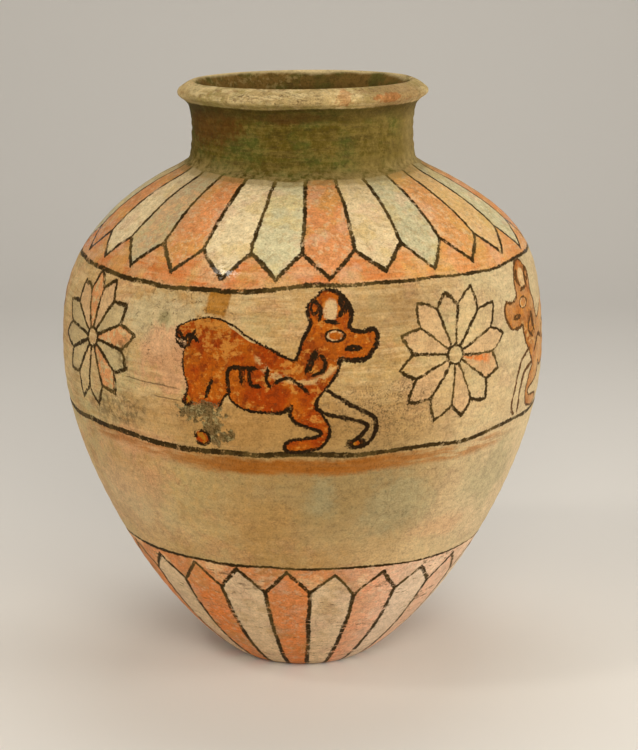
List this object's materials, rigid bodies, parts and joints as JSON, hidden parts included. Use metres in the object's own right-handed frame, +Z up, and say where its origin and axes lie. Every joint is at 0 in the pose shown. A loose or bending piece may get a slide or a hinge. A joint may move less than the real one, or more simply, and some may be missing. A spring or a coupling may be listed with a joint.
{
  "type": "glazed terracotta jar",
  "caption": "Egg-shaped glazed terracotta storage jar with a rolled rim, short neck and small flat foot, open and hollow, painted with bands of petals, rosettes and walking animals.",
  "frame": {"origin": "centre of the flat foot, on the surface that the jar stands on", "axes": "+Z up the jar's axis, -Y towards the side with the walking animal, +X to the right of that side"},
  "size_m": [0.346, 0.346, 0.4207],
  "materials": {
    "glazed_terracotta": "worn satin glaze in cream, orange and grey-green with dark brown outlines, dull and pitted in places"
  },
  "bodies": {
    "root": {"jar": "glazed_terracotta"}
  },
  "joints": []
}
